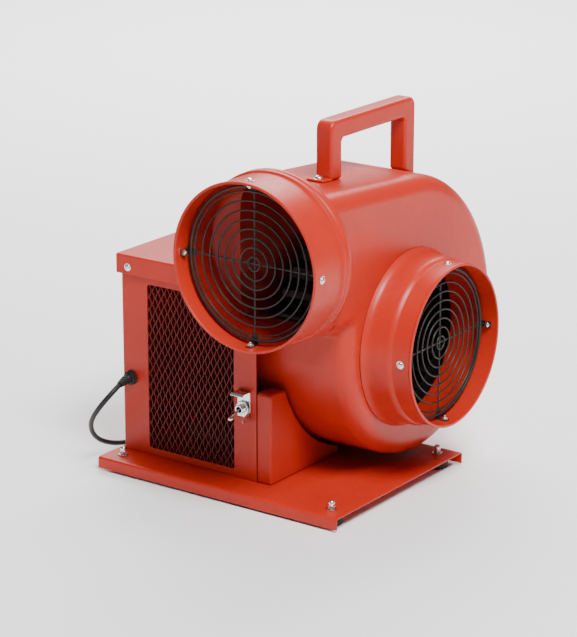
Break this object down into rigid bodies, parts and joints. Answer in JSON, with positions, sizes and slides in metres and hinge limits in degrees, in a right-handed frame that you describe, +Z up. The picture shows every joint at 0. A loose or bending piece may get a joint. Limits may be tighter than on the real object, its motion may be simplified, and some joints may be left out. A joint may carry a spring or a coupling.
{
  "type": "portable centrifugal blower",
  "caption": "Portable centrifugal blower: scroll housing with round inlet and outlet duct collars and wire guards, sheet-metal motor box, base plate, carry handle and supply cord.",
  "frame": {"origin": "on the floor, under the middle of the blower's bounding box without its supply cord", "axes": "+X the way the inlet collar faces, along the fan axis; -Y the way the outlet collar faces; +Z up"},
  "size_m": [0.4256, 0.4557, 0.465],
  "materials": {
    "orange_enamel": "satin orange-red enamel",
    "black_rubber": "matt black rubber",
    "zinc_plate": "bright zinc plate",
    "bright_steel": "machined steel",
    "black_oxide": "black oxide wire and painted black wheel",
    "motor_core": "stacked core sheets with varnished winding",
    "grey_enamel": "grey enamel",
    "black_plastic": "moulded black plastic",
    "cord_sheath": "smooth black cord sheath"
  },
  "bodies": {
    "frame": {"base_plate": "orange_enamel", "motor_box": "orange_enamel", "box_bulkhead": "orange_enamel", "box_lid": "orange_enamel", "front_grille": "orange_enamel", "scroll_cradle": "orange_enamel", "scroll_housing": "orange_enamel", "scroll_back_plate": "orange_enamel", "inlet_collar": "orange_enamel", "outlet_adapter": "orange_enamel", "outlet_collar": "orange_enamel", "carry_handle": "orange_enamel", "foot_front_left": "black_rubber", "foot_front_right": "black_rubber", "foot_rear_left": "black_rubber", "foot_rear_right": "black_rubber", "acorn_nut_front_left": "zinc_plate", "acorn_nut_front_right": "zinc_plate", "acorn_nut_rear_left": "zinc_plate", "acorn_nut_rear_right": "zinc_plate", "lid_screw_1": "zinc_plate", "lid_screw_2": "zinc_plate", "handle_bolt_near": "zinc_plate", "handle_bolt_far": "zinc_plate", "switch_bushing": "zinc_plate", "switch_nut": "zinc_plate", "switch_guard": "zinc_plate", "inlet_collar_screw_top": "zinc_plate", "inlet_collar_screw_bottom": "zinc_plate", "inlet_collar_screw_near": "zinc_plate", "inlet_collar_screw_far": "zinc_plate", "outlet_collar_screw_top": "zinc_plate", "outlet_collar_screw_bottom": "zinc_plate", "outlet_collar_screw_near": "zinc_plate", "outlet_collar_screw_far": "zinc_plate", "motor_front_bell": "bright_steel", "motor_rear_bell": "bright_steel", "shaft_bearing_front": "bright_steel", "shaft_bearing_rear": "bright_steel", "inlet_guard": "black_oxide", "outlet_guard": "black_oxide", "motor_stator": "motor_core", "motor_shell": "grey_enamel", "motor_stand": "grey_enamel", "start_capacitor": "black_plastic", "switch_body": "black_plastic", "cable_gland": "black_plastic", "plug": "black_plastic", "strain_relief": "cord_sheath", "supply_cord": "cord_sheath", "cord_coil": "cord_sheath"},
    "rotor": {"motor_shaft": "bright_steel", "rotor_core": "motor_core", "fan_wheel": "black_oxide"},
    "toggle": {"switch_lever": "zinc_plate"}
  },
  "joints": [
    {"name": "fan_spin", "type": "hinge", "parent": "frame", "child": "rotor", "pos_m": [0, 0.0267, 0.186], "axis": [1, 0, 0], "continuous": true},
    {"name": "switch_throw", "type": "hinge", "parent": "frame", "child": "toggle", "pos_m": [-0.001, -0.1453, 0.112], "axis": [-1, 0, 0], "range_deg": [0, 40]}
  ]
}
